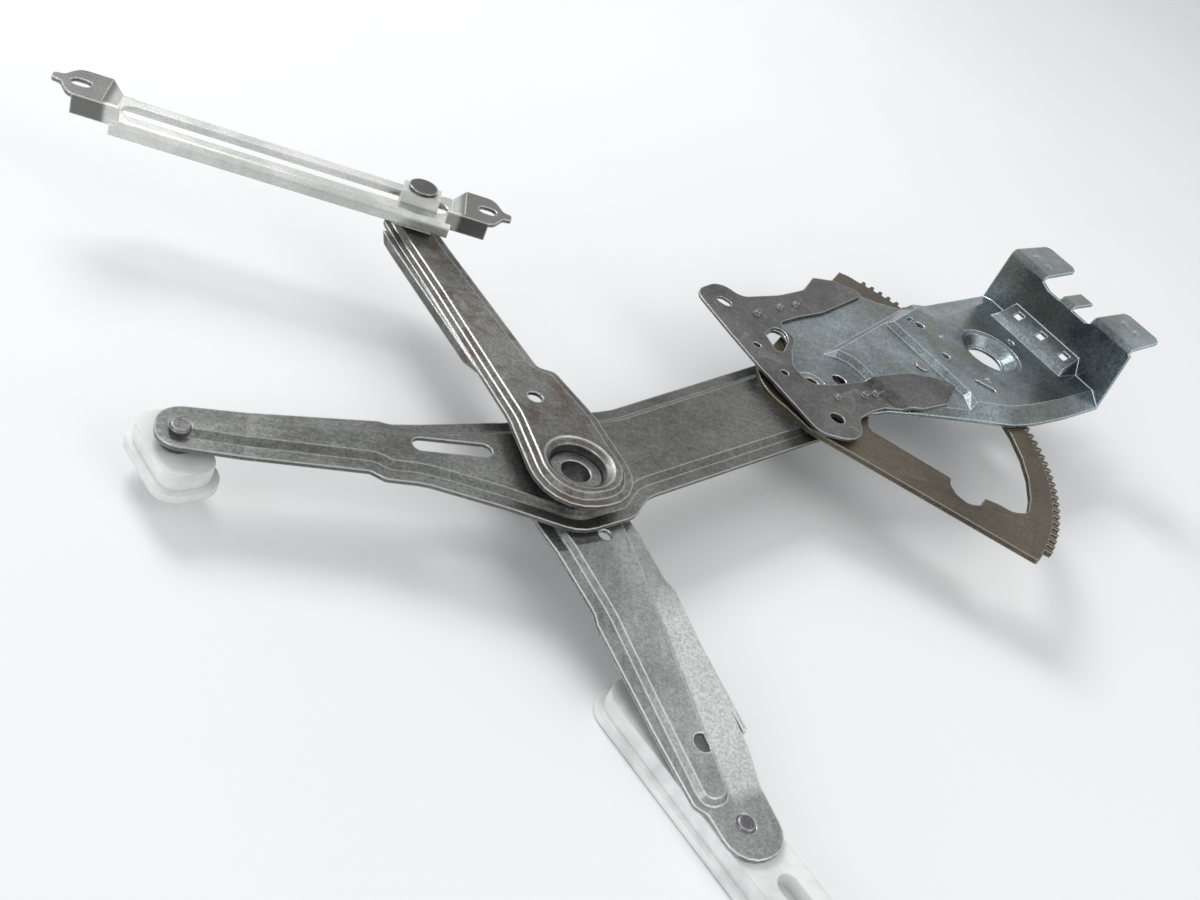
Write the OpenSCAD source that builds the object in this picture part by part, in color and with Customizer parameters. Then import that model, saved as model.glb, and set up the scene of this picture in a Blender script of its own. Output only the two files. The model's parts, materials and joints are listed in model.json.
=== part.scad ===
// Door window regulator: pressed steel scissor linkage with a toothed sector, a slotted guide
// rail and two plastic glass shoes. It lies flat: Z is up, every pivot is vertical, X runs
// along the guide rail, and the origin is the main pivot at the top face of the sector.

/* [Linkage] */
// Main pivot to cross pivot, and cross pivot to guide pin
arm_half = 173; // [150:1:200]
// Cross pivot to either glass shoe
arm_outer = 153.5; // [130:0.5:175]
// Direction of the lift arm's inner half
lift_angle = -138.4; // [-145:0.1:-130]
// Sideways bend of the lift arm at the cross pivot
lift_bend = 33.7; // [30:0.1:36]
// Direction of the cross arm from the guide pin to the glass shoe
cross_angle = -62.2; // [-68:0.1:-56]

/* [Sheet and fits] */
// Thickness of the pressed arms, bracket and rail
sheet = 2; // [1.5:0.1:2.4]
// Height of the pressed steps in the arms
press = 2.4; // [2:0.1:3]
// Radial clearance of every turning fit
run_gap = 0.05; // [0.02:0.01:0.09]
// Flat clearance between moving pieces
flat_gap = 0.3; // [0.2:0.05:0.5]

/* [Toothed sector] */
// Radius at the tooth tips
sector_r = 144; // [130:0.5:160]
// Thickness of the sector
sector_t = 3; // [2.5:0.1:3.5]
// Teeth that a full circle would have
teeth_full = 156; // [140:2:170]
// Number of teeth cut
teeth_cut = 44; // [40:1:44]
// Angle of the lowest tooth
tooth_from = -34.4; // [-36:0.1:-32]
// Width of the toothed rim
rim_w = 17; // [14:0.5:22]

/* [Guide rail] */
// Distance between the two fixing slots
rail_pitch = 187; // [180:1:200]
// Width over the side walls
rail_w = 27; // [24:0.5:30]
// Height of the slotted face above the sector
rail_z = 13.5; // [13:0.5:15]
// Width of the long slot
slot_w = 11; // [9:0.5:13]
// Screw size of the fixing slots
fix_d = 6.5; // [6:0.1:7]

/* [Pins] */
// Main pivot rivet body
pivot_d = 16; // [14:0.5:18]
// Cross pivot hollow rivet body
hub_d = 18; // [16:0.5:20]
// Guide pin and shoe pin bodies
pin_d = 8; // [7:0.5:9]
// Head of the guide pin
pin_head = 13.6; // [12:0.2:15]

/* [Hidden] */
$fn = 48;

// Colours of the real finishes
zinc = [0.72, 0.73, 0.72];
dark_zinc = [0.45, 0.46, 0.47];
blue_zinc = [0.62, 0.68, 0.72];
brown_zinc = [0.50, 0.46, 0.38];
pin_steel = [0.38, 0.38, 0.39];
white_plastic = [0.93, 0.93, 0.92];

// Pivot places
function dir(a) = [cos(a), sin(a)];
at_m = arm_half*dir(lift_angle);
outer_angle = lift_angle - lift_bend;
at_a = at_m + arm_outer*dir(outer_angle);
at_b = at_m - arm_half*dir(cross_angle);
at_c = at_m + arm_outer*dir(cross_angle);

// Levels, all measured from the sector's top face
web_z = -sector_t;                  // top of the lift arm's web, under the sector
flange_z = web_z - press;           // top of the lift arm's edge flange
plate_z = 0.9;                      // underside of the base plate round the pivot
mid_z = plate_z + 3;                // underside of its middle level
cup_z = plate_z + 6.1;              // underside of its drive level
lift_drop = 5;                      // fall of the lift arm's outer half towards its shoe
cross_z = 4.6;                      // top of the upper cross arm's flange at the hub
cross_drop = 4.2;                   // fall of that arm towards the guide pin
cup_floor = web_z + 1.1;            // underside of that arm's hub cup
low_z = -11.4;                      // top of the lower cross arm's flange at the hub
low_drop = 14.4;                    // fall of that arm towards its shoe
tab_top = low_z - low_drop;         // top of that arm's end tab
shoe_top = tab_top - sheet - flat_gap;
shoe_h = 11.7;
lift_shoe_top = -17;                // the lift arm's shoe sits higher
rail_h = 7;                         // depth of the rail's side walls
tab_z = rail_z + 4.4;               // underside of the rail's end tabs
guide_z = at_b.y;                   // the rail's centre line in Y

// Outline helpers
function unit(v) = v/norm(v);
function corner(a, b, c, r) = r <= 0 || abs(unit(a - b)*unit(c - b)) > 0.9995 ? [b] :
    let (u = unit(a - b), v = unit(c - b), h = acos(max(-1, min(1, u*v)))/2,
        n = ceil((180 - 2*h)/20), t = r/tan(h), o = b + unit(u + v)*r/sin(h),
        p = b + u*t - o, q = b + v*t - o,
        s = atan2(p.y, p.x), e = atan2(q.y, q.x), w = (e - s + 540)%360 - 180)
    [for (i = [0:n]) o + r*dir(s + w*i/n)];
// Closed outline through corners [x, y, radius]
function rounded(p) = let (n = len(p)) [for (i = [0:n - 1])
    each corner([p[(i + n - 1)%n].x, p[(i + n - 1)%n].y], [p[i].x, p[i].y],
        [p[(i + 1)%n].x, p[(i + 1)%n].y], p[i][2])];
// The same corners with every side moved inwards by d
function ring(p, d) = let (n = len(p)) [for (i = [0:n - 1])
    let (a = p[(i + n - 1)%n], b = p[i], c = p[(i + 1)%n],
        u = unit([b.x - a.x, b.y - a.y]), v = unit([c.x - b.x, c.y - b.y]),
        m = [-(u.y + v.y), u.x + v.x], k = m*[-u.y, u.x],
        r = u.x*v.y - u.y*v.x > 0 ? max(b[2] - d, 0.4) : b[2] + d)
    [b.x + m.x*d/k, b.y + m.y*d/k, b[2] == 0 ? 0 : r]];
// A line of points moved to its left by d
function beside(l, d) = let (n = len(l)) [for (i = [0:n - 1])
    let (u = unit(l[min(i + 1, n - 1)] - l[i == n - 1 ? n - 2 : i]),
        v = unit(l[max(i, 1)] - l[max(i, 1) - 1]), m = [-(u.y + v.y), u.x + v.x],
        k = m*[-u.y, u.x]) l[i] + m*d/k];

// Pressed sheet: a rim whose top face follows steps of [inset, height], with its underside t
// below, and a flat web inside it
module pressed(corners, steps, t = sheet) {
    m = len(steps);
    lean = 0.5*t;
    n = len(rounded(corners));
    top = [for (s = steps) for (q = rounded(ring(corners, s[0]))) [q.x, q.y, s[1]]];
    under = [for (i = [0:m - 1])
        let (s = steps[i], up = i > 0 && s[1] > steps[i - 1][1] ? lean : 0)
        for (q = rounded(ring(corners, s[0] + up))) [q.x, q.y, s[1] - t]];
    faces = [
        for (i = [0:m - 2]) for (j = [0:n - 1]) let (k = (j + 1)%n)
            [i*n + n + j, i*n + n + k, i*n + k, i*n + j],
        for (i = [0:m - 2]) for (j = [0:n - 1]) let (k = (j + 1)%n, b = m*n)
            [b + i*n + j, b + i*n + k, b + i*n + n + k, b + i*n + n + j],
        for (j = [0:n - 1]) let (k = (j + 1)%n) [j, k, m*n + k, m*n + j],
        for (j = [0:n - 1]) let (k = (j + 1)%n, a = (m - 1)*n, b = (2*m - 1)*n)
            [a + k, a + j, b + j, b + k]];
    polyhedron(concat(top, under), faces, convexity = 8);
    translate([0, 0, steps[m - 1][1] - t]) linear_extrude(t)
        polygon(rounded(ring(corners, steps[m - 1][0])));
}
// Section of bent sheet: line is one face [x, y, radius], the other lies t to its left
function strip(line, t) = let (n = len(line), other = beside([for (q = line) [q.x, q.y]], t))
    concat(line, [for (i = [n - 1:-1:0]) let (u = line[i] - line[max(i - 1, 0)],
        v = line[min(i + 1, n - 1)] - line[i], turn = u.x*v.y - u.y*v.x)
        [other[i].x, other[i].y, line[i][2] == 0 ? 0 : max(line[i][2] + (turn > 0 ? -t : t), 0.3)]]);
// Folded sheet: flat facets between points [x, y, top height], each facet's corners listed
// anticlockwise from above; the sheet hangs t below them and is closed along its free edges
module folded(p, facets, t = sheet) {
    n = len(p);
    sides = [for (f = facets) for (i = [0:len(f) - 1]) [f[i], f[(i + 1)%len(f)]]];
    free = [for (e = sides) if (len([for (o = sides) if (o[0] == e[1] && o[1] == e[0]) 1]) == 0) e];
    polyhedron(concat(p, [for (q = p) [q.x, q.y, q.z - t]]), concat(
        [for (f = facets) [for (i = [len(f) - 1:-1:0]) f[i]]],
        [for (f = facets) [for (i = f) i + n]],
        [for (e = free) [e[0], e[1], e[1] + n, e[0] + n]]), convexity = 6);
}

// Leans a shape that runs along X: it keeps its height to from, then falls by drop until to
module falling(from, to, drop, behind = 60, wide = 40) {
    deep = 60;
    intersection() {
        children();
        translate([-behind, -wide, -deep]) cube([behind + from, 2*wide, 2*deep]);
    }
    multmatrix([[1, 0, 0, 0], [0, 1, 0, 0], [-drop/(to - from), 0, 1, drop*from/(to - from)]])
        intersection() {
            children();
            translate([from, -wide, -deep]) cube([to - from, 2*wide, 2*deep]);
        }
    translate([0, 0, -drop]) intersection() {
        children();
        translate([to, -wide, -deep]) cube([80, 2*wide, 2*deep]);
    }
}
module slot(length, d, h) {
    for (s = [-1, 1]) translate([s*(length - d)/2, 0]) cylinder(d = d, h = h);
    translate([-(length - d)/2, -d/2]) cube([length - d, d, h]);
}
module along(at, angle) { translate(at) rotate(angle) children(); }

// Toothed sector
pitch_a = 360/teeth_full;
module_g = 2*sector_r/(teeth_full + 2);
root_r = sector_r - 2.25*module_g;
tooth_to = tooth_from + (teeth_cut - 1)*pitch_a;
leg_side = 36.5;                    // distance of its lower edge from the pivot
hub_r = 28.5;
module tooth_shape() {
    polygon([[root_r - 1, -0.26*pitch_w], [root_r, -0.25*pitch_w],
        [sector_r - module_g, -0.25*pitch_w + 0.12], [sector_r, -0.11*pitch_w],
        [sector_r, 0.11*pitch_w], [sector_r - module_g, 0.25*pitch_w - 0.12],
        [root_r, 0.25*pitch_w], [root_r - 1, 0.26*pitch_w]]);
}
pitch_w = PI*module_g*1.06;
module sector_outline() {
    end_r = sector_r - 3.6;
    difference() {
        union() {
            circle(r = hub_r);
            polygon([each [for (a = [tooth_from - 5.6:4:tooth_to + 6.6]) root_r*dir(a)],
                root_r*dir(tooth_to + 6.6), hub_r*dir(150), hub_r*dir(-150), 36*dir(-100)]);
            for (e = [tooth_from - 4, tooth_to + 4]) rotate(e) translate([root_r - 6, -3.2])
                square([end_r - root_r + 6, 6.4]);
            for (i = [0:teeth_cut - 1]) rotate(tooth_from + i*pitch_a) tooth_shape();
        }
        rotate(-24.9) translate([-20, -leg_side - 40]) square([200, 40]);
    }
}
module sector_window() {
    rim = sector_r - rim_w;
    path = rounded(concat(
        [[30, -21.5, 4], [72, -43.6, 1.5], [70, -49, 4], [71.5, -56, 5], [77, -61, 5],
         [84.5, -59.5, 5], [89, -52.6, 1.5], [96, -54, 6], [104, -57.6, 8], [114, -55, 8]],
        [for (a = [-19:8:45]) [rim*cos(a), rim*sin(a), 0]],
        [[rim*cos(56), rim*sin(56), 8], [50, 84, 8], [20, 34, 12], [36, 6, 14]]));
    polygon(path);
}
module sector_gear() color(brown_zinc) translate([0, 0, -sector_t]) difference() {
    linear_extrude(sector_t) difference() {
        sector_outline();
        sector_window();
    }
    cylinder(d = pivot_d + 4, h = 20, center = true);
    at_rivets() cylinder(d = rivet_d, h = 20, center = true);
}
// Four rivets round the pivot join the sector to the lift arm
rivet_d = 4;
rivet_r = pivot_d/2 + 6;            // their distance from the pivot
module at_rivets() for (a = [30, 150, 210, 330])
    rotate(lift_angle + a) translate([rivet_r, 0]) children();
module sector_rivets() color(brown_zinc) at_rivets() {
    translate([0, 0, -sector_t - sheet]) cylinder(d = rivet_d, h = sector_t + sheet);
    translate([0, 0, web_z - sheet - 1.2]) cylinder(d = rivet_d + 2, h = 1.2);
}

// Lift arm: outline in the frame of its inner half, which runs along X from the main pivot
function bent(x, y) = [arm_half, 0] + [x*cos(-lift_bend) - y*sin(-lift_bend),
    x*sin(-lift_bend) + y*cos(-lift_bend)];
module lift_blank() pressed([[-26, -27, 24], [arm_half - 53, -29, 12], [each bent(26, -31), 10],
    [each bent(62, -22.6), 10], [each bent(74, -20.4), 3], [each bent(79, -21.4), 3],
    [each bent(arm_outer - 13.5, -15.2), 10], [each bent(arm_outer + 9.5, -13), 11],
    [each bent(arm_outer + 8.5, 9), 9], [each bent(118, 8.6), 20], [each bent(83, 8.4), 3],
    [each bent(77, 12), 3], [each bent(62, 12), 20], [arm_half + 31, 6, 26],
    [arm_half + 15, 24, 20], [arm_half - 15, 27, 16], [arm_half - 29, 20.5, 18],
    [18, 27.5, 24], [-26, 27, 24]],
    [[0, flange_z], [5.6, flange_z], [7.8, flange_z + 1.5], [8.8, web_z]]);
module lift_arm() color(zinc) difference() {
    along(at_m, outer_angle) falling(30, arm_outer - 23.5, lift_drop, arm_half + 47, 150)
        rotate(lift_bend) translate([-arm_half, 0]) lift_blank();
    cylinder(d = pivot_d + 2*run_gap, h = 60, center = true);
    translate(at_m) cylinder(d = hub_d + 2*run_gap, h = 60, center = true);
    at_rivets() cylinder(d = rivet_d, h = 60, center = true);
    translate(at_a) cylinder(d = pin_d, h = 60, center = true);
    along(at_m, outer_angle) translate([50, -8.6, -20]) rotate(2) slot(33, 8, 40);
}

// Pin of a glass shoe: peened on the arm, a shaft down through the shoe, and a foot that lies
// in a recess of the shoe's underside
foot_d = pin_d + 4;
foot_t = 1.4;
foot_in = foot_t + 2*flat_gap;
module shoe_pin(arm_top, shoe_top) {
    foot_z = shoe_top - shoe_h + flat_gap;
    translate([0, 0, arm_top]) cylinder(d1 = pin_d, d2 = pin_d - 1.6, h = 1);
    translate([0, 0, foot_z]) cylinder(d = pin_d, h = arm_top - foot_z);
    translate([0, 0, foot_z]) cylinder(d = foot_d, h = foot_t);
}
module shoe_bore() {
    translate([0, 0, -1]) cylinder(d = pin_d + 2*run_gap, h = 20);
    translate([0, 0, -1]) cylinder(d = foot_d + 1, h = foot_in + 1);
}
module shoe_collar(from, to) difference() {
    translate([0, 0, from]) cylinder(d = foot_d, h = to - from);
    translate([0, 0, from - 1]) cylinder(d = pin_d, h = to - from + 2);
}
module lift_shoe_pin() color(pin_steel) translate(at_a) shoe_pin(web_z - lift_drop, lift_shoe_top);
module lift_shoe_collar() color(pin_steel) translate(at_a)
    shoe_collar(lift_shoe_top + flat_gap, flange_z - lift_drop - sheet);
// Moulded shoe: a block with a wider sole, rounded ends and a pocket in its top
module shoe_block(back, front, w) {
    for (part = [[w/2, shoe_h], [w/2 + 2.5, 4]]) linear_extrude(part[1])
        polygon(rounded([[-back - part[0] + w/2, -part[0], part[0]*0.7],
            [front + part[0] - w/2, -part[0], part[0]*0.7],
            [front + part[0] - w/2, part[0], part[0]*0.7],
            [-back - part[0] + w/2, part[0], part[0]*0.7]]));
}
module lift_shoe() color(white_plastic) along([at_a.x, at_a.y, lift_shoe_top - shoe_h], -55)
    difference() {
        shoe_block(19, 17, 21);
        shoe_bore();
    }

// Cross arms: both run along X from the cross pivot
hub_outer = 23;
module upper_shape() {
    path = [[-hub_outer, -hub_outer, 21], [26, -24, 10],
        [58, -20, 4], [62, -13, 4], [118, -12, 30], [arm_half + 3, -11, 9],
        [arm_half + 13, 0, 10], [arm_half + 5, 14, 9], [118, 15, 30], [62, 17, 20], [30, 18, 20],
        [0, 23, 20],
        [-hub_outer, 22, 20]];
    pressed(path, [[0, cross_z], [3.6, cross_z], [5.6, cross_z + press]]);
    // side wall turned down along the left edge
    translate([0, 0, cross_z]) rotate([90, 0, 0]) translate([0, 0, -17.2])
        linear_extrude(sheet) polygon(rounded([[58, -0.6, 0], [arm_half - 5, -0.6, 0],
            [arm_half - 9, -5.4, 3], [74, -5.4, 5]]));
}
module upper_cross_arm() color(zinc) along(at_m, cross_angle + 180) difference() {
    union() {
        difference() {
            falling(34, arm_half - 19, cross_drop) upper_shape();
            translate([0, 0, -20]) cylinder(r = 15.2, h = 60);
        }
        // hub cup pressed down on to the lift arm
        rotate_extrude() polygon([[6, cup_floor], [12.2, cup_floor], [13.6, cross_z + press - 4.4],
            [15.2, cross_z + press - 2.6], [17.4, cross_z + press - 2.6], [17.4, cross_z + press],
            [14.6, cross_z + press - 0.6], [12.6, cross_z + press - 2],
            [11.6, cup_floor + sheet], [6, cup_floor + sheet]]);
    }
    translate([0, 0, -20]) cylinder(d = hub_d, h = 60);
    translate([arm_half, 0, -20]) cylinder(d = pin_d, h = 60);
    translate([40, 1, -20]) cylinder(d = 7, h = 60);
}
low_outline_c = [[-22, -22, 21], [20, -21, 12], [60, -17, 14], [64, -18.4, 3],
    [arm_outer - 43.5, -17.5, 20], [arm_outer - 12.5, -16, 3], [arm_outer - 7.5, -12.5, 3],
    [arm_outer + 14.5, -12.5, 12], [arm_outer + 14.5, 12.5, 12], [arm_outer - 11.5, 15.5, 6],
    [arm_outer - 25.5, 19, 12], [arm_outer - 49.5, 21.5, 12], [56, 24.5, 8], [50, 22.5, 6],
    [20, 22, 12], [-22, 22, 21]];
low_web = [[-16, -16, 15], [22, -15, 20], [62, -11.5, 40], [arm_outer - 57.5, -12.4, 30],
    [arm_outer - 9.5, -13, 6], [arm_outer - 9.5, 0, 6], [arm_outer - 55.5, 6, 60], [44, 14, 30],
    [20, 17, 20], [-16, 16, 15]];
low_to = arm_outer - 11;             // end of that arm's fall, from the hub
low_lip = 4.6;                      // depth of its side wall, clear above the swinging shoe
module lower_shape() {
    translate([0, 0, low_z - sheet]) linear_extrude(sheet) difference() {
        polygon(rounded(low_outline_c));
        polygon(rounded(low_web));
    }
    pressed(low_web, [[0, low_z], [1.9, low_z + press]]);
}
module lower_cross_arm() color(zinc) along(at_m, cross_angle) difference() {
    union() {
        falling(30, low_to, low_drop) lower_shape();
        // side wall turned down along the right edge
        falling(30, low_to, low_drop) translate([62, 21, low_z - low_lip])
            cube([arm_outer - 95.5, sheet, low_lip]);
    }
    translate([0, 0, -60]) cylinder(d = hub_d, h = 90);
    translate([arm_outer, 0, -60]) cylinder(d = pin_d, h = 90);
    translate([arm_outer - 32.5, -1, -60]) cylinder(d = 8, h = 90);
    translate([27, 4, -60]) cylinder(d = 6, h = 90);
}
low_floor = low_z + press;
module hub_rivet() color(dark_zinc) translate(at_m) difference() {
    union() {
        translate([0, 0, low_floor - sheet - 1.4]) cylinder(d = hub_d,
            h = cup_floor - low_floor + 2*sheet + 1.8);
        translate([0, 0, cup_floor + sheet]) cylinder(d = hub_d + 4.4, h = 1.2);
        translate([0, 0, low_floor - sheet - 1.4]) cylinder(d = hub_d + 6, h = 1.4);
    }
    translate([0, 0, -40]) cylinder(d = hub_d - 5, h = 60);
}
module hub_ring(from, to, d) translate([at_m.x, at_m.y, from]) difference() {
    cylinder(d = d, h = to - from);
    translate([0, 0, -1]) cylinder(d = hub_d, h = to - from + 2);
}
module hub_washer() color(dark_zinc) hub_ring(web_z + flat_gap, cup_floor, 25);
module lower_hub_washer() color(dark_zinc) hub_ring(low_floor, web_z - sheet - flat_gap, 28);

// Guide pin, slider and rail at the upper cross arm's end
guide_top = cross_z + press - cross_drop;
pin_top = rail_z + 6.6;
module guide_pin() color(pin_steel) translate(at_b) {
    translate([0, 0, guide_top - sheet - 1]) cylinder(d1 = pin_d - 1.6, d2 = pin_d, h = 1);
    translate([0, 0, guide_top - sheet]) cylinder(d = pin_d, h = pin_top - guide_top + sheet);
    translate([0, 0, pin_top]) cylinder(d = pin_head, h = 1.9);
}
module guide_washer() color(dark_zinc) translate([at_b.x, at_b.y, guide_top]) difference() {
    cylinder(d = 14, h = 1.2);
    translate([0, 0, -1]) cylinder(d = pin_d, h = 4);
}
slider_l = 18;
module guide_slider() color(white_plastic) translate([at_b.x, at_b.y, 0]) difference() {
    union() {
        translate([-slider_l/2, -slot_w/2 + 0.4, guide_top + 1.5])
            cube([slider_l, slot_w - 0.8, rail_z + 6.3 - guide_top - 1.5]);
        translate([-slider_l/2, -rail_w/2 + sheet + 0.4, guide_top + 1.5])
            cube([slider_l, rail_w - 2*sheet - 0.8, rail_z - sheet - 0.3 - guide_top - 1.5]);
    }
    cylinder(d = pin_d + 2*run_gap, h = 60, center = true);
}
rail_mid = at_b.x - 61.3;           // middle of the rail in X, from the rest place of the slider
module rail_section() {
    r = 3;
    difference() {
        translate([0, rail_z - rail_h]) polygon(rounded([[-rail_w/2, 0, 0], [rail_w/2, 0, 0],
            [rail_w/2, rail_h, r], [-rail_w/2, rail_h, r]]));
        translate([0, rail_z - rail_h - 1]) polygon(rounded([[-rail_w/2 + sheet, 0, 0],
            [rail_w/2 - sheet, 0, 0], [rail_w/2 - sheet, rail_h + 1 - sheet, 1],
            [-rail_w/2 + sheet, rail_h + 1 - sheet, 1]]));
    }
}
module guide_rail() color(zinc) translate([rail_mid, at_b.y, 0]) difference() {
    body = rail_pitch - 32;
    union() {
        rotate([90, 0, 90]) translate([0, 0, -body/2]) linear_extrude(body) rail_section();
        for (s = [-1, 1]) scale([s, 1, 1]) {
            // ramp and end tab
            rotate([90, 0, 0]) translate([0, 0, -12]) linear_extrude(24)
                polygon([[body/2 - 5, rail_z - sheet], [body/2 - 5, rail_z], [body/2, rail_z],
                    [body/2 + 5, tab_z + sheet], [body/2 + 10, tab_z + sheet],
                    [body/2 + 10, tab_z], [body/2 + 6, tab_z], [body/2 + 1, rail_z - sheet]]);
            translate([0, 0, tab_z]) linear_extrude(sheet) polygon(rounded([
                [body/2 + 5, -12, 0], [rail_pitch/2 + 3, -12, 6], [rail_pitch/2 + 8, -3, 3],
                [rail_pitch/2 + 12, -2.4, 1.5], [rail_pitch/2 + 12, 2.4, 1.5],
                [rail_pitch/2 + 8, 3, 3], [rail_pitch/2 + 3, 12, 6], [body/2 + 5, 12, 0]]));
            translate([body/2 - 3, -12, rail_z - 3]) cube([20, sheet, tab_z - rail_z + 3 + sheet]);
        }
    }
    translate([0, 0, rail_z - 10]) slot(body - 4, slot_w, 20);
    for (s = [-1, 1]) translate([s*rail_pitch/2, 0, tab_z - 1]) slot(fix_d + 2.5, fix_d, 6);
}

// Cross arm's shoe
module cross_shoe_pin() color(pin_steel) translate(at_c) shoe_pin(tab_top, shoe_top);
module cross_shoe() color(white_plastic) along([at_c.x, at_c.y, shoe_top - shoe_h], -54)
    difference() {
        shoe_block(72, 50, 24);
        shoe_bore();
        translate([-42, 0, 5]) slot(38, 9, 10);
        translate([30, 0, 5]) slot(18, 9, 10);
    }

// Base plate: low round the pivot, then a middle level, then the drive level
step_w = 3.4;                       // width of its sloping steps
bowl_at = (sector_r + 3.5*module_g)*dir(31.5);
bowl_bore = 11*module_g + 2;
bowl_z = plate_z;
low_t = plate_z + sheet;            // top faces of the three levels
mid_t = mid_z + sheet;
cup_t = cup_z + sheet;
bend = [[147.6, 149.5], [202.8, 65]];       // where the flange rises
bend_dir = unit(bend[1] - bend[0]);
bend_l = norm(bend[1] - bend[0]);
bend_out = [-bend_dir.y, bend_dir.x];
flange_top = 43;
flange_up = 0.4;                    // the flange's foot stands inside the plate's thickness
flange_out = 0.2;
pad_rise = 3;                       // step at the near edge of the flange's sloping brace
brace_rise = 10;                    // height at which the brace meets the flange
far_fall = 1.6;                     // fall of the plate's far edge
// Point at a distance along the bend line and another out from it
function at_bend(s, d, z) = let (q = bend[0] + s*bend_dir + d*bend_out) [q.x, q.y, z];
function raise(line, z) = [for (q = line) [q.x, q.y, z]];
low_line = [[-14, -10], [-4, -27], [4, -33], [13, -31], [19, -23], [28, -14], [44, -5]];
low_rim = [[78.6, 105.6], [62, 104.5], [47, 106], [33, 109], [19, 105], [8, 86], [-8, 72],
    [-30, 59], [-41, 48], [-29, 18]];
front_low = [[57, -1.1], [50.5, 5.6], [43, 11], [37.3, 15.7], [32.7, 23.7], [26.7, 29.5],
    [19.9, 31.3]];
front_high = [[60, 4.4], [53, 8.4], [45.2, 13.8], [40.3, 17.9], [35.6, 25.8], [28.6, 32.3],
    [20.6, 34.6]];
tip = [12.5, 30.5];
back_low = [56.8, 80.6];
skirt_low = [[64, 1], [90, 8], [101, 10.9], [114, 14], [128, 17.5], [145, 26], [172, 43]];
mid_skirt = [[62.8, 5.2], [88.9, 12.3], [97, 14.4]];
cup_skirt = [[101.5, 20], [111.8, 22.7], [124.3, 25.8], [140.5, 33.8], [167.3, 50.6]];
step_low = [[96.6, 26.4], [79.7, 49.9], [59.4, 78.3]];
step_high = [[99.4, 28.4], [82.5, 51.9], [63.8, 78.1]];
plate_points = concat(raise(low_line, low_t), raise(front_low, low_t),
    raise([tip, back_low], low_t), raise(low_rim, low_t), raise(front_high, mid_t),
    raise(skirt_low, low_t), raise(mid_skirt, mid_t), raise(step_low, mid_t),
    raise(cup_skirt, cup_t), raise(step_high, cup_t),
    [[84, 100.8, cup_t], [98.1, 97, cup_t], at_bend(6, 0, cup_t), at_bend(0, 0, cup_t - far_fall),
     [94, 111, cup_t - far_fall], [84, 107.4, cup_t - far_fall], at_bend(bend_l - 8.6, 0, cup_t),
     at_bend(bend_l, 0, low_t)],
    [at_bend(17, 0, cup_t), at_bend(19, -18, cup_t), at_bend(77, -18, cup_t),
     at_bend(79, 0, cup_t), at_bend(21, -15, cup_t + pad_rise), at_bend(75, -15, cup_t + pad_rise),
     at_bend(22, -0.6, cup_t + brace_rise), at_bend(74, -0.6, cup_t + brace_rise)]);
// First index of each run of points in that list
i_front = len(low_line);
i_tip = i_front + len(front_low);
i_rim = i_tip + 2;
i_high = i_rim + len(low_rim);
i_skirt = i_high + len(front_high);
i_mid = i_skirt + len(skirt_low);
i_step = i_mid + len(mid_skirt);
i_cup = i_step + len(step_low);
i_top = i_cup + len(cup_skirt);
i_far = i_top + len(step_high);
i_pad = i_far + 8;
// A level piece through those points, by index
module level(z, run) translate([0, 0, z]) linear_extrude(sheet)
    polygon([for (i = run) [plate_points[i].x, plate_points[i].y]]);
module plate_sheet() {
    level(plate_z, [for (i = [0:i_high - 1]) i]);
    level(mid_z, concat([i_high, i_mid, i_mid + 1, i_mid + 2, i_step, i_step + 1, i_step + 2],
        [for (i = [len(front_high) - 1:-1:1]) i_high + i]));
    level(cup_z, concat([for (i = [0:len(cup_skirt) - 1]) i_cup + i], [i_far + 6, i_pad + 3,
        i_pad + 2, i_pad + 1, i_pad, i_far + 2, i_far + 1, i_far, i_top + 2, i_top + 1, i_top]));
    folded(plate_points, concat(
        // curved step, and the straight one behind it
        [for (i = [0:len(front_low) - 2]) each [[i_front + i, i_high + i, i_high + i + 1],
            [i_front + i, i_high + i + 1, i_front + i + 1]]],
        [[i_front + 6, i_high + 6, i_tip], [i_tip, i_high + 6, i_step + 2],
         [i_tip, i_step + 2, i_tip + 1], [i_tip + 1, i_step + 2, i_top + 2],
         [i_tip + 1, i_top + 2, i_far], [i_tip + 1, i_far, i_rim], [i_rim, i_far, i_far + 5]],
        // step up to the drive level
        [[i_mid + 2, i_cup, i_top], [i_mid + 2, i_top, i_step]],
        [for (i = [0:1]) each [[i_step + i, i_top + i, i_top + i + 1],
            [i_step + i, i_top + i + 1, i_step + i + 1]]],
        // skirts
        [[i_front, i_skirt, i_mid], [i_front, i_mid, i_high]],
        [for (i = [0:1]) each [[i_skirt + i, i_skirt + i + 1, i_mid + i + 1],
            [i_skirt + i, i_mid + i + 1, i_mid + i]]],
        [[i_skirt + 2, i_cup, i_mid + 2]],
        [for (i = [0:3]) each [[i_skirt + 2 + i, i_skirt + 3 + i, i_cup + i + 1],
            [i_skirt + 2 + i, i_cup + i + 1, i_cup + i]]],
        [[i_skirt + 6, i_far + 7, i_far + 6], [i_skirt + 6, i_far + 6, i_cup + 4]],
        [[i_far, i_far + 1, i_far + 4], [i_far, i_far + 4, i_far + 5],
         [i_far + 1, i_far + 2, i_far + 3], [i_far + 1, i_far + 3, i_far + 4]]));
    // sloping brace of the flange
    folded(plate_points, [[i_pad + 1, i_pad + 2, i_pad + 5], [i_pad + 1, i_pad + 5, i_pad + 4],
        [i_pad + 4, i_pad + 5, i_pad + 7], [i_pad + 4, i_pad + 7, i_pad + 6],
        [i_pad, i_pad + 1, i_pad + 4], [i_pad, i_pad + 4, i_pad + 6],
        [i_pad + 2, i_pad + 3, i_pad + 7], [i_pad + 2, i_pad + 7, i_pad + 5]]);
}

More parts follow.
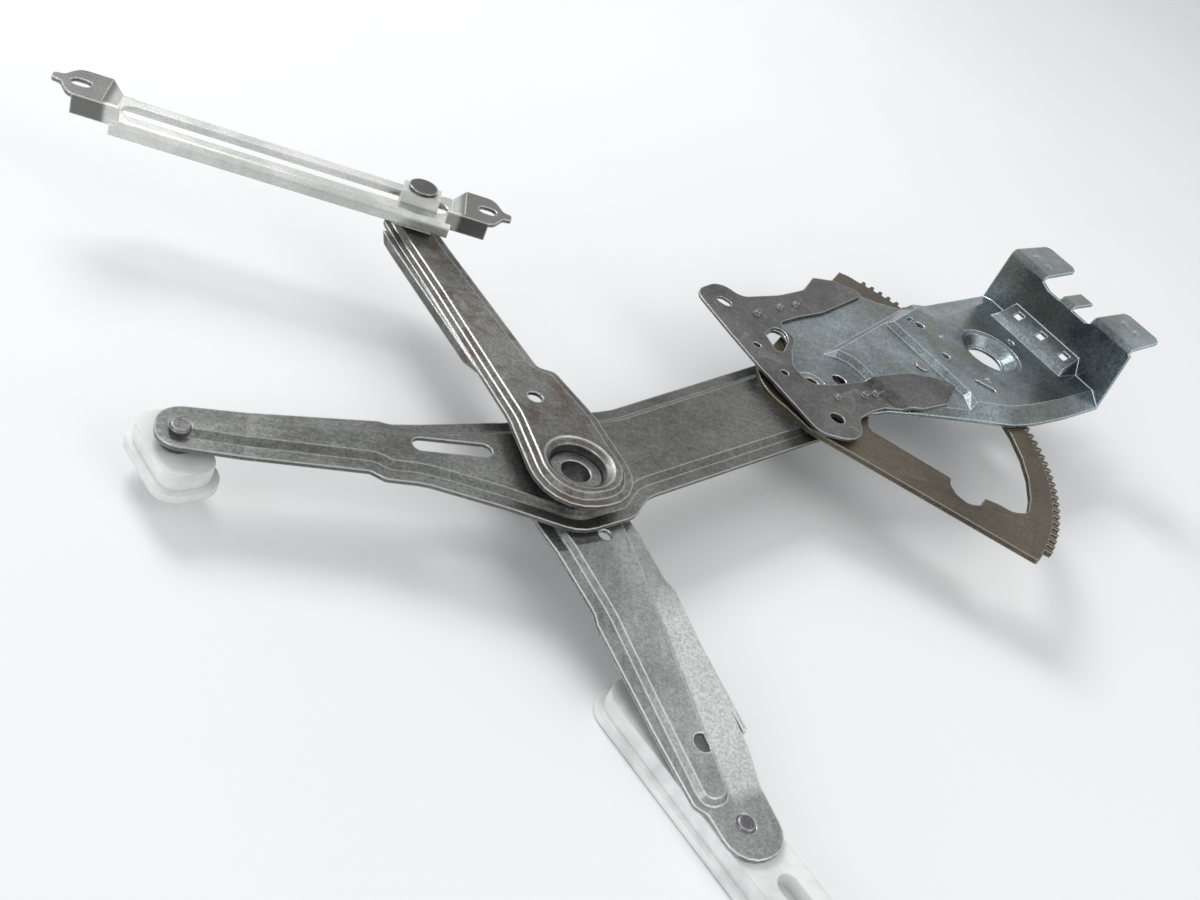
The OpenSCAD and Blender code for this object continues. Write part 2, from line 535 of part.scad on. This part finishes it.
module in_bend() translate(bend[0]) rotate(atan2(bend_dir.y, bend_dir.x)) children();
module along_bend(from, to, profile) translate([from, 0, 0]) rotate([90, 0, 90])
    linear_extrude(to - from) polygon(rounded(profile));
// Tab folded outwards at the flange's top
module tab(from, to, out) intersection() {
    along_bend(from, to, strip([[0, flange_top - 9, 0], [0, flange_top - sheet, 1.4],
        [out, flange_top - sheet, 0]], sheet));
    linear_extrude(60) polygon(rounded([[from, -9, 0], [to, -9, 0], [to - 2, out - 4, 3],
        [to - 6, out, 3], [from + 2, out, 3], [from, out - 3, 3]]));
}
module flange() in_bend() translate([0, flange_out, flange_up]) {
    notch = flange_top - 6;
    rotate([90, 0, 0]) linear_extrude(sheet) polygon([[0, cup_z - far_fall], [6, cup_z],
        [17, cup_z], [21, cup_z + brace_rise - 1], [75, cup_z + brace_rise - 1], [79, cup_z],
        [bend_l - 8.6, cup_z], [bend_l, plate_z], [bend_l - 3, flange_top - 4],
        [67, flange_top - 4], [64, notch], [34, notch], [28, flange_top - 4], [0, flange_top - 4]]);
    tab(0, 28, 37);
    tab(67, 97, 36);
    translate([43, 0, 0]) rotate([90, 0, 90]) linear_extrude(10) polygon(rounded(
        strip([[0, notch - 5, 0], [0, notch + 1, 1.4], [20, notch + 1, 0]], sheet)));
}
// Dished seat of the drive: its rim is a tongue inside the plate's thickness
bowl_r = 20;
module bowl() translate(bowl_at) rotate_extrude() polygon([[bowl_bore/2, bowl_z], [13.4, bowl_z],
    [18, cup_z - 0.4], [19.4, cup_z + 0.2], [bowl_r + 0.6, cup_z + 0.2],
    [bowl_r + 0.6, cup_t - 0.2], [18.6, cup_t - 0.2], [17, cup_t - 0.8],
    [12.8, bowl_z + sheet + 0.2], [12.2, bowl_z + sheet], [bowl_bore/2, bowl_z + sheet]]);
// Holes through the drive level [x, y, diameter]
cup_holes = [[81.9, 82.7, 6], [92.5, 57.8, 5], [148, 97, 5]];
eye_at = [18.1, 10];
module base_plate() color(blue_zinc) {
    difference() {
        union() {
            plate_sheet();
            flange();
        }
        translate([bowl_at.x, bowl_at.y, -2]) cylinder(r = bowl_r, h = 20);
        for (q = cup_holes) translate([q.x, q.y, -1]) cylinder(d = q[2], h = 20);
        along([112.1, 38.2, -1], -22) slot(13, 4.2, 20);
        along([76, 86.1, -1], 50) translate([-3, -1, 0]) cube([6, 2, 20]);
        in_bend() for (q = [30, 49, 68]) translate([q - 2.6, -10, -1]) cube([5.2, 5.2, 40]);
        translate([eye_at.x, eye_at.y, -1]) cylinder(d = 8.4, h = 20);
        translate([8.6, -27.1, -1]) cylinder(d = 11, h = 20);
        translate([0, 0, -1]) linear_extrude(6) polygon(rounded(d_hole));
        cylinder(d = pivot_d, h = 20, center = true);
    }
    bowl();
    for (q = [[95.4, 77.1], [116.8, 46.2]]) translate([q.x, q.y, cup_t])
        cylinder(d1 = 4, d2 = 2, h = 0.8);
    in_bend() for (q = [[9, 12], [19, 12], [75, 22], [84, 22]])
        translate([q.x, q.y, flange_top + flange_up]) cylinder(d1 = 4, d2 = 2, h = 0.9);
}

// Front bracket, a C-shaped sheet on top of the base plate
d_hole = [[-22.5, 31, 4], [-18, 17.5, 1.5], [-14, 18, 1.5], [-8.5, 31, 5], [-9.5, 38.5, 3],
    [-15, 40.5, 4]];
bracket_t = 1.6;
bracket_corners = [[-4, -43, 10], [22, -42, 14], [22, -22, 10], [40, -4, 30], [62, -1, 10],
    [81.3, 11.2, 1], [91.8, 30.3, 2], [89.4, 33, 1], [79.6, 33.9, 20], [61, 30, 20],
    [38.7, 17.2, 30], [12.6, 1.8, 10], [-2, -4, 6], [-10, 8, 10], [-8, 22, 6], [-4, 34, 6], [-12, 46, 5],
    [2.9, 59, 20], [19.8, 71.3, 20], [35.3, 87.6, 20], [51, 104, 2], [47, 108, 1], [33, 110.6, 1],
    [19.5, 106.4, 1], [10.5, 88.9, 14], [-7, 74.5, 30], [-32, 60, 8], [-44, 69, 9],
    [-60, 53, 10], [-43, 21, 40], [-29.8, -2.3, 40], [-24.7, -9.5, 40]];
bracket_step = [34.8, 12.8];        // low edge of its step, and the direction of that edge
bracket_turn = -40.5;
step_lead = 4;                      // level strip before the step
// Section across the step
bracket_fold = strip([[-step_lead, low_t, 0], [0, low_t, 3], [step_w, mid_t, 3], [90, mid_t, 0]],
    bracket_t);
module at_step() along([bracket_step.x, bracket_step.y, 0], bracket_turn) translate([-30, 0, 0])
    children();
module front_bracket() color(dark_zinc) difference() {
    union() {
        difference() {
            translate([0, 0, low_t]) linear_extrude(bracket_t) polygon(rounded(bracket_corners));
            at_step() translate([0, -step_lead, 0]) cube([140, 100, 20]);
        }
        intersection() {
            at_step() rotate([90, 0, 90]) linear_extrude(140) polygon(rounded(bracket_fold));
            linear_extrude(30) polygon(rounded(bracket_corners));
        }
    }
    along([-43.3, 50.2, 0], -30) slot(8.5, 6.5, 20);
    translate([0, 0, -1]) linear_extrude(16) polygon(rounded(d_hole));
    for (q = [[-28.9, 17.4, 4.4], [-16.1, -0.6, 4.4], [eye_at.x, eye_at.y, 8.4], [8.6, -27.1, 8]])
        translate([q.x, q.y, -1]) cylinder(d = q[2], h = 20);
}
clinches = [[-24.2, 48.2], [-8.6, 61.8], [2.4, 69.9], [13.4, -8.4], [30.4, 0.6], [37.6, 4.9]];
module bracket_clinches() color(dark_zinc) for (q = clinches)
    translate([q.x, q.y, low_t + bracket_t]) cylinder(d1 = 6, d2 = 3, h = 1.6);
module plate_rivet() color(dark_zinc) translate([75, 44, mid_t]) cylinder(d = 8.6, h = 0.8);
module pivot_rivet() color(dark_zinc) difference() {
    union() {
        translate([0, 0, web_z - sheet - flat_gap]) cylinder(d = pivot_d,
            h = plate_z + 2*sheet - web_z + flat_gap);
        translate([0, 0, web_z - sheet - flat_gap - 1.6]) cylinder(d = pivot_d + 5, h = 1.6);
    }
    translate([0, 0, -30]) cylinder(d = pivot_d - 8, h = 30 + plate_z + sheet);
}
module pivot_washer() color(brown_zinc) translate([0, 0, flat_gap]) difference() {
    cylinder(r = 23, h = plate_z - flat_gap);
    cylinder(d = pivot_d, h = 20, center = true);
}

base_plate();
front_bracket();
bracket_clinches();
plate_rivet();
pivot_rivet();
pivot_washer();
sector_gear();
sector_rivets();
lift_arm();
lift_shoe_pin();
lift_shoe_collar();
lift_shoe();
hub_rivet();
hub_washer();
lower_hub_washer();
upper_cross_arm();
lower_cross_arm();
guide_pin();
guide_washer();
guide_slider();
guide_rail();
cross_shoe_pin();
cross_shoe();
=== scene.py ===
"""Door window regulator: finishes, floor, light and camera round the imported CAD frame."""

import json
import math

import bpy
from mathutils import Matrix, Vector


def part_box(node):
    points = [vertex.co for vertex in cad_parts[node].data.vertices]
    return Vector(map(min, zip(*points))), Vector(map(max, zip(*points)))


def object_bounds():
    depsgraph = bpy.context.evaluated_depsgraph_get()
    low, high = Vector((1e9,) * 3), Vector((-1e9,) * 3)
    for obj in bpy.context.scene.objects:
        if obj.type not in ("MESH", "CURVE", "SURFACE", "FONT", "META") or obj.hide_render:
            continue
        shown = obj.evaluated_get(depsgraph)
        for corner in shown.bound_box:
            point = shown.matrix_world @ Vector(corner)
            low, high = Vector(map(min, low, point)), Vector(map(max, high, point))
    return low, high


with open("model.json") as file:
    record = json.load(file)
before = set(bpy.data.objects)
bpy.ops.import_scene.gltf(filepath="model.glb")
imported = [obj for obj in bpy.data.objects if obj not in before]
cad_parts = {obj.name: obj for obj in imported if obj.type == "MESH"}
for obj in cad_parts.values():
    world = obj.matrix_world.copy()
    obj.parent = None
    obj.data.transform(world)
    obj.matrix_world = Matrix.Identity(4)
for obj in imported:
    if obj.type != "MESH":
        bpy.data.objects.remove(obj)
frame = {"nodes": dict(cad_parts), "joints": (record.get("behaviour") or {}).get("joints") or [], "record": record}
cad_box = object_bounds()
scene = bpy.context.scene


# Node helpers

class Finish:
    """One procedural material: a Principled shader and the textures that feed it."""

    def __init__(self, name):
        self.mat = bpy.data.materials.new(name)
        self.mat.use_nodes = True
        self.tree = self.mat.node_tree
        self.shader = self.tree.nodes["Principled BSDF"]
        self.place = self.add("ShaderNodeTexCoord").outputs["Object"]

    def add(self, kind, **values):
        node = self.tree.nodes.new(kind)
        for key, value in values.items():
            setattr(node, key, value)
        return node

    def feed(self, socket, value):
        """Link a socket, or set a plain value."""
        if isinstance(value, bpy.types.NodeSocket):
            self.tree.links.new(value, socket)
        else:
            socket.default_value = value

    def stretched(self, scale, turn):
        """Place scaled along X, Y and Z after a turn about Z in degrees."""
        node = self.add("ShaderNodeMapping")
        self.feed(node.inputs["Vector"], self.place)
        node.inputs["Scale"].default_value = scale
        node.inputs["Rotation"].default_value = (0, 0, math.radians(turn))
        return node.outputs["Vector"]

    def noise(self, scale, detail, rough, warp=0.0, where=None):
        node = self.add("ShaderNodeTexNoise")
        self.feed(node.inputs["Vector"], where or self.place)
        node.inputs["Scale"].default_value = scale
        node.inputs["Detail"].default_value = detail
        node.inputs["Roughness"].default_value = rough
        node.inputs["Distortion"].default_value = warp
        return node.outputs["Fac"]

    def across(self, centre):
        """Distance from a place in X, to either side, in metres."""
        node = self.add("ShaderNodeSeparateXYZ")
        self.feed(node.inputs["Vector"], self.place)
        return self.maths("ABSOLUTE", self.maths("SUBTRACT", node.outputs["X"], centre))

    def reach(self, start, heading):
        """Distance from a point along a heading, in metres."""
        away = self.add("ShaderNodeVectorMath", operation="SUBTRACT")
        self.feed(away.inputs[0], self.place)
        away.inputs[1].default_value = start
        dot = self.add("ShaderNodeVectorMath", operation="DOT_PRODUCT")
        self.feed(dot.inputs[0], away.outputs[0])
        dot.inputs[1].default_value = heading
        return dot.outputs["Value"]

    def ramp(self, fac, *stops):
        """Colour or grey level between stops of (factor, colour)."""
        node = self.add("ShaderNodeValToRGB")
        self.feed(node.inputs["Fac"], fac)
        marks = node.color_ramp.elements
        while len(marks) < len(stops):
            marks.new(0.5)
        for mark, (at, colour) in zip(marks, stops):
            mark.position = at
            mark.color = (*colour, 1) if isinstance(colour, tuple) else (colour, colour, colour, 1)
        return node.outputs["Color"]

    def mix(self, fac, a, b):
        """Colour a, with b over it by the factor. Mix has its colour sockets at 6, 7 and out 2."""
        node = self.add("ShaderNodeMix", data_type="RGBA")
        self.feed(node.inputs["Factor"], fac)
        for socket, value in ((node.inputs[6], a), (node.inputs[7], b)):
            self.feed(socket, (*value, 1) if isinstance(value, tuple) else value)
        return node.outputs[2]

    def maths(self, kind, a, b=0.0):
        node = self.add("ShaderNodeMath", operation=kind)
        self.feed(node.inputs[0], a)
        self.feed(node.inputs[1], b)
        return node.outputs[0]

    def weigh(self, first, *others):
        """Sum of levels, each given as (level, weight)."""
        total = self.maths("MULTIPLY", *first)
        for level, weight in others:
            total = self.maths("ADD", total, self.maths("MULTIPLY", level, weight))
        return total

    def edges(self, radius):
        """Level that is 1 where the surface turns or ends and 0 on open faces, and the softened
        normal."""
        soft = self.add("ShaderNodeBevel", samples=4)
        soft.inputs["Radius"].default_value = radius
        flat = self.add("ShaderNodeNewGeometry").outputs["Normal"]
        dot = self.add("ShaderNodeVectorMath", operation="DOT_PRODUCT")
        self.feed(dot.inputs[0], soft.outputs["Normal"])
        self.feed(dot.inputs[1], flat)
        turned = self.ramp(dot.outputs["Value"], (0.86, 1.0), (0.995, 0.0))
        return turned, soft.outputs["Normal"]

    def bump(self, height, strength, depth, normal):
        node = self.add("ShaderNodeBump")
        node.inputs["Strength"].default_value = strength
        node.inputs["Distance"].default_value = depth
        self.feed(node.inputs["Height"], height)
        self.feed(node.inputs["Normal"], normal)
        self.feed(self.shader.inputs["Normal"], node.outputs["Normal"])


def shade(colour, factor):
    return tuple(factor * c for c in colour)


# Finishes

DARKEST, LIGHTEST = 0.38, 0.62      # tone where a metal shows its dark and its light colour
STREAKS = 0.14                      # share of the rolling streaks in the tone
LIT_FACE_STRENGTH = 0.72                # how strongly the painted highlight on a sloped face covers the tone
RAMP_PER_METRE = 5.0                # makes a distance fit a ramp, which reads 0 to 1


def zinc(name, dark, light, rough, edge_wear_and_highlight, sheen=None, stain=None, stain_at=0.62,
         streak=(1, 1, 1), turn=0.0, cloud=14.0, fleck=0.24, grit=0.45, ends=None,
         painted_lit_face=None):
    """Plated pressed steel: clouds, rolling streaks, fine grain, stains, and edges painted bright, partly as wear
    and partly as a painted highlight.

    sheen and stain are colours laid over the tone. ends is (middle, half length, colour) of a
    piece with dull ends; the last argument lists (start, heading, blend) of the sides of a face painted lighter, a
    painted highlight for its slope.
    """
    f = Finish(name)
    clouds = f.noise(cloud, detail=5, rough=0.6, warp=0.4)
    lines = f.noise(60, detail=3, rough=0.6, where=f.stretched(streak, turn))
    grain = f.noise(900, detail=2, rough=0.5)
    flecks = f.noise(380, detail=4, rough=0.7)
    tone = f.weigh((clouds, 1 - STREAKS - fleck), (lines, STREAKS), (flecks, fleck))
    colour = f.ramp(tone, (DARKEST, dark), (LIGHTEST, light))
    if ends:
        middle_x, half, dull = ends
        off = f.maths("MULTIPLY", f.across(middle_x), RAMP_PER_METRE)
        start = RAMP_PER_METRE * half
        colour = f.mix(f.ramp(off, (start, 0.0), (start + 0.01, 0.88)), colour, dull)
    if sheen:
        bands = f.noise(22, detail=2, rough=0.4, warp=1.2)
        colour = f.mix(f.ramp(bands, (0.42, 0.0), (0.66, 0.55)), colour, sheen)
    # Painted highlight: a sloped face is painted lighter where it would catch the light
    if painted_lit_face:
        inside = LIT_FACE_STRENGTH
        for start, heading, blend in painted_lit_face:
            past = f.maths("MULTIPLY", f.reach(start, heading), 1 / blend)
            inside = f.maths("MULTIPLY", inside, f.ramp(past, (0.0, 0.0), (1.0, 1.0)))
        colour = f.mix(inside, colour, f.ramp(tone, (DARKEST, 0.62), (LIGHTEST, 0.80)))
    if stain:
        spots = f.noise(75, detail=8, rough=0.7, warp=0.6)
        colour = f.mix(f.ramp(spots, (stain_at, 0.0), (stain_at + 0.12, 0.75)), colour, stain)
    colour = f.mix(f.ramp(grain, (0.35, grit), (0.62, 0.0)), colour, shade(dark, 0.5))
    # Edges and bends are painted lighter: partly wear, partly a painted highlight along the bends
    turned, soft = f.edges(radius=0.0011)
    bright = tuple(min(0.95, 1.5 * c + 0.30) for c in light)
    colour = f.mix(f.maths("MULTIPLY", turned, edge_wear_and_highlight), colour, bright)
    f.feed(f.shader.inputs["Base Color"], colour)
    f.shader.inputs["Metallic"].default_value = 0.8
    level = f.weigh((clouds, 0.7), (grain, 0.3))
    f.feed(f.shader.inputs["Roughness"], f.ramp(level, (0.35, rough[0]), (0.65, rough[1])))
    f.bump(f.weigh((lines, 0.6), (grain, 0.4)), strength=0.35, depth=0.0002, normal=soft)
    return f.mat


def plastic(name, dark, light, rough):
    """Natural moulded nylon: milky, a little waxy, with grease marks at random."""
    f = Finish(name)
    clouds = f.noise(35, detail=4, rough=0.6, warp=0.3)
    colour = f.ramp(clouds, (0.35, dark), (0.62, light))
    marks = f.noise(120, detail=6, rough=0.7)
    colour = f.mix(f.ramp(marks, (0.66, 0.0), (0.78, 0.35)), colour, shade(dark, 0.6))
    f.feed(f.shader.inputs["Base Color"], colour)
    f.shader.inputs["Subsurface Weight"].default_value = 0.25
    f.shader.inputs["Subsurface Radius"].default_value = (0.004, 0.004, 0.0035)
    f.shader.inputs["Subsurface Scale"].default_value = 1.0
    f.feed(f.shader.inputs["Roughness"], f.ramp(clouds, (0.3, rough), (0.7, rough + 0.15)))
    _, soft = f.edges(radius=0.0009)
    f.bump(f.noise(700, detail=3, rough=0.5), strength=0.15, depth=0.0001, normal=soft)
    return f.mat


# The rail is bright between its two dull fixing tabs
rail_mid = sum(corner[0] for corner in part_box("guide_rail")) / 2
rail_bright_half = 0.0795
tab_grey = (0.085, 0.085, 0.08)

# The lower arm's wide right flange is painted lighter between its pressed web, the hub and the tab, a painted
# highlight for its slope
pivots = {j["name"]: Vector(j["pos_m"]) for j in frame["joints"] if j.get("pos_m")}
hub = pivots["cross_swing"]
out_arm = pivots["cross_shoe_swivel"] - hub
out_arm.z = 0
out_arm.normalize()
aside = Vector((-out_arm.y, out_arm.x, 0))
web_side = (hub + 0.0202 * aside, 0.139 * out_arm + 0.990 * aside, 0.001)
hub_side = (hub + 0.050 * out_arm, out_arm, 0.020)
tab_side = (hub + 0.146 * out_arm, -out_arm, 0.006)

finishes = {
    "plate_zinc": zinc("plate_zinc", (0.070, 0.086, 0.090), (0.33, 0.395, 0.43),
                       sheen=(0.15, 0.165, 0.125), rough=(0.18, 0.36), cloud=15, edge_wear_and_highlight=1.0),
    "bracket_zinc": zinc("bracket_zinc", (0.040, 0.040, 0.039), (0.165, 0.166, 0.163), cloud=24,
                         stain=(0.27, 0.27, 0.26), stain_at=0.58, rough=(0.26, 0.46),
                         edge_wear_and_highlight=0.95, fleck=0.32),
    "sector_steel": zinc("sector_steel", (0.055, 0.045, 0.032), (0.165, 0.142, 0.105),
                         stain=(0.21, 0.19, 0.15), stain_at=0.64, rough=(0.38, 0.56), edge_wear_and_highlight=0.7,
                         streak=(1, 7, 1), turn=24),
    "lift_zinc": zinc("lift_zinc", (0.070, 0.072, 0.068), (0.235, 0.24, 0.23),
                      rough=(0.24, 0.42), streak=(1, 9, 1), turn=-28, edge_wear_and_highlight=0.95),
    "cross_zinc": zinc("cross_zinc", (0.085, 0.085, 0.078), (0.26, 0.265, 0.255),
                       stain=(0.11, 0.072, 0.05), stain_at=0.49, rough=(0.26, 0.42),
                       streak=(9, 1, 1), turn=28, edge_wear_and_highlight=0.95),
    "lower_zinc": zinc("lower_zinc", (0.15, 0.155, 0.155), (0.42, 0.425, 0.425),
                       rough=(0.22, 0.38), streak=(9, 1, 1), turn=28, edge_wear_and_highlight=1.0,
                       grit=0.35, painted_lit_face=(web_side, hub_side, tab_side)),
    "rail_zinc": zinc("rail_zinc", (0.44, 0.45, 0.42), (0.80, 0.80, 0.78),
                      rough=(0.20, 0.34), streak=(1, 14, 1), edge_wear_and_highlight=0.7, fleck=0.06, grit=0.14,
                      ends=(rail_mid, rail_bright_half, tab_grey)),
    "rivet_steel": zinc("rivet_steel", (0.12, 0.12, 0.12), (0.34, 0.34, 0.335),
                        rough=(0.25, 0.42), edge_wear_and_highlight=0.8),
    "pin_steel": zinc("pin_steel", (0.07, 0.07, 0.073), (0.19, 0.19, 0.195),
                      rough=(0.20, 0.36), edge_wear_and_highlight=0.9),
    "shoe_plastic": plastic("shoe_plastic", (0.62, 0.62, 0.61), (0.86, 0.86, 0.85), 0.42),
    "slider_plastic": plastic("slider_plastic", (0.50, 0.50, 0.46), (0.76, 0.76, 0.72), 0.38),
}
slot_of = {s["node"]: s["material_slot"] for s in frame["record"]["subparts"]}
for node, piece in frame["nodes"].items():
    piece.data.materials.clear()
    piece.data.materials.append(finishes[slot_of[node]])


# Floor: pale, just under the lowest piece

low, high = (Vector(corner) for corner in cad_box)
bpy.ops.mesh.primitive_plane_add(size=8.0, location=(low.x, low.y, low.z - 0.0005))
floor = bpy.context.object
floor.name = "floor"
paper = Finish("floor_paper")
pale = paper.ramp(paper.noise(3, detail=3, rough=0.5), (0.3, 0.91), (0.7, 0.94))
paper.feed(paper.shader.inputs["Base Color"], pale)
paper.shader.inputs["Roughness"].default_value = 0.9
paper.shader.inputs["Specular IOR Level"].default_value = 0.1
floor.data.materials.append(paper.mat)


# Studio: a plain world, a white backdrop for the camera and reflections, soft lamps

world = bpy.data.worlds.new("studio")
scene.world = world
world.use_nodes = True
tree = world.node_tree
paths = tree.nodes.new("ShaderNodeLightPath")
seen = paths.outputs["Is Camera Ray"]
for ray in ("Is Transmission Ray", "Is Glossy Ray"):
    either = tree.nodes.new("ShaderNodeMath")
    either.operation = "MAXIMUM"
    tree.links.new(seen, either.inputs[0])
    tree.links.new(paths.outputs[ray], either.inputs[1])
    seen = either.outputs[0]
lit = tree.nodes["Background"]
lit.inputs["Color"].default_value = (0.95, 0.98, 1.0, 1)
lit.inputs["Strength"].default_value = 0.58
white = tree.nodes.new("ShaderNodeBackground")
white.inputs["Color"].default_value = (1, 1, 1, 1)
white.inputs["Strength"].default_value = 1.0
both = tree.nodes.new("ShaderNodeMixShader")
tree.links.new(seen, both.inputs["Fac"])
tree.links.new(lit.outputs[0], both.inputs[1])
tree.links.new(white.outputs[0], both.inputs[2])
tree.links.new(both.outputs[0], tree.nodes["World Output"].inputs["Surface"])

middle = (low + high) / 2


def lamp(name, place, size, power, colour=(1, 1, 1)):
    """Soft square lamp turned to the middle of the part."""
    data = bpy.data.lights.new(name, "AREA")
    data.size = size
    data.energy = power
    data.color = colour
    obj = bpy.data.objects.new(name, data)
    scene.collection.objects.link(obj)
    obj.location = place
    obj.rotation_euler = (middle - Vector(place)).to_track_quat("-Z", "Y").to_euler()


lamp("key", (-0.9, 1.1, 1.3), size=0.7, power=16)
lamp("fill", (0.9, -0.9, 1.1), size=1.0, power=5, colour=(1.0, 0.98, 0.95))
lamp("front", (-1.3, -1.1, 0.45), size=0.9, power=6, colour=(0.94, 0.98, 1.0))


# Camera: the photograph's own viewpoint and framing

eye = Vector((-0.2550, -0.5069, 0.3197))
right = Vector((0.9268, -0.0568, 0.3712))
down = Vector((0.2485, -0.6485, -0.7195))
ahead = Vector((0.2816, 0.7591, -0.5869))
lens = bpy.data.cameras.new("camera")
lens.sensor_width = 36
lens.lens = 37.99
lens.shift_x = -0.0286
lens.shift_y = 0.0054
lens.clip_start = 0.01
camera = bpy.data.objects.new("camera", lens)
scene.collection.objects.link(camera)
view = Matrix((right, -down, -ahead)).transposed().to_4x4()
view.translation = eye
camera.matrix_world = view
scene.camera = camera
scene.view_settings.view_transform = "Standard"
